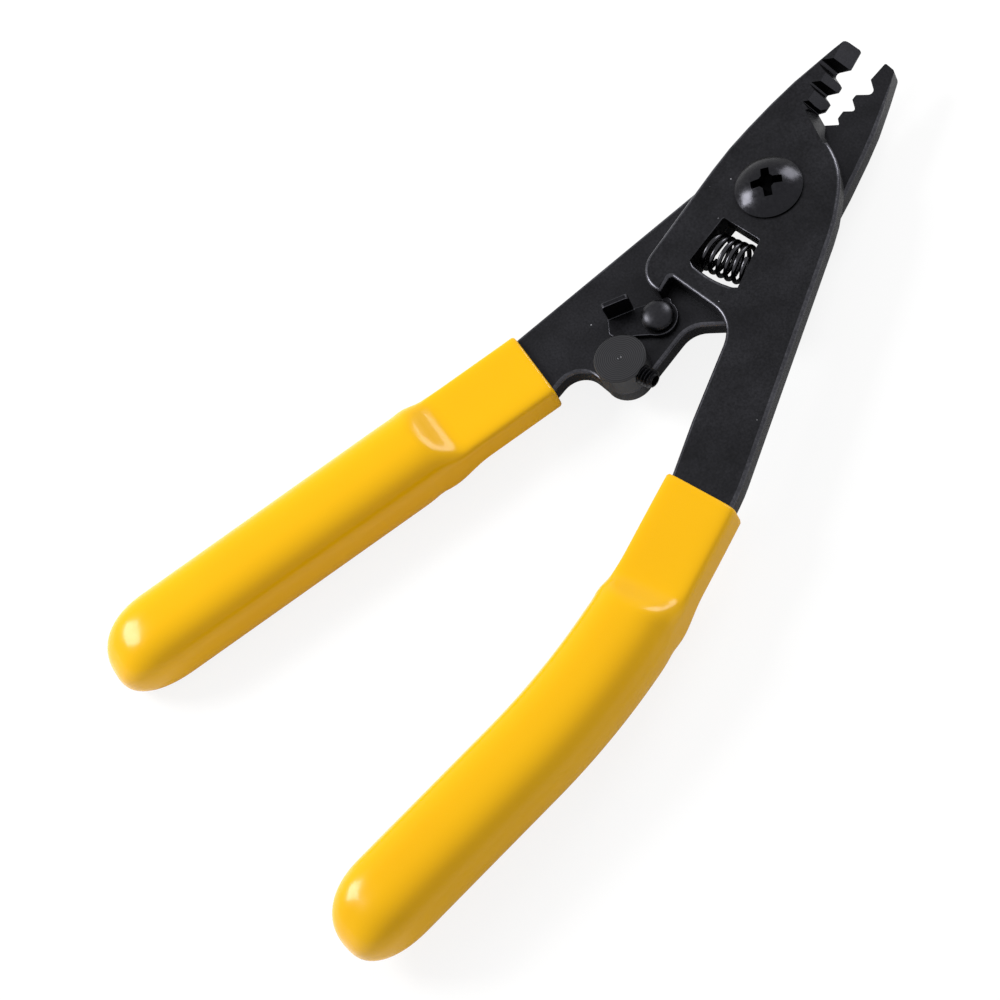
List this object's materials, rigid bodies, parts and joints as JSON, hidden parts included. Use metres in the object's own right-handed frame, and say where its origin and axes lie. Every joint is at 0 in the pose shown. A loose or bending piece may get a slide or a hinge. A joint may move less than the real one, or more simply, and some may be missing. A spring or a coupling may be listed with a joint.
{
  "type": "fibre stripper",
  "caption": "Hand stripper for optical fibre: crossed steel levers with stepped V notches, coil return spring, swinging latch, adjustable stop and dipped yellow grips.",
  "frame": {"origin": "centre of the pivot nut's outer face, on the pivot's axis", "axes": "+Z out of the tool's front through the pivot, +Y towards the jaw tips along the middle of the open jaws, +X to the right arm's side"},
  "size_m": [0.0839, 0.1669, 0.0154],
  "materials": {
    "black_oxide_steel": "stamped carbon tool steel with a satin black oxide finish",
    "black_screw_steel": "headed steel with a black oxide finish, polished on the domes",
    "turned_steel": "turned steel, dark oxide with fine concentric tool marks",
    "spring_wire": "drawn spring wire, dark oiled finish",
    "yellow_vinyl": "glossy soft vinyl, bright yellow"
  },
  "bodies": {
    "rear_half": {"rear_lever": "black_oxide_steel", "pivot_screw": "black_screw_steel", "pivot_washer": "black_screw_steel", "pivot_nut": "black_screw_steel", "return_spring": "spring_wire", "stop_boss": "turned_steel", "stop_set_screw": "black_screw_steel", "latch_rivet": "black_screw_steel", "latch_spring_washer": "spring_wire", "left_grip": "yellow_vinyl"},
    "front_half": {"front_lever": "black_oxide_steel", "right_grip": "yellow_vinyl"},
    "latch_plate": {"latch": "black_oxide_steel"}
  },
  "joints": [
    {"name": "lever_close", "type": "hinge", "parent": "rear_half", "child": "front_half", "pos_m": [0, 0, 0.0077], "axis": [0, 0, -1], "range_deg": [0, 13.4], "stiffness_Nm_per_rad": 1, "springref_deg": -8.59, "deforming": ["return_spring"]},
    {"name": "latch_swing", "type": "hinge", "parent": "rear_half", "child": "latch_plate", "pos_m": [-0.0035, -0.02705, 0.0077], "axis": [0, 0, -1], "range_deg": [0, 42]}
  ]
}
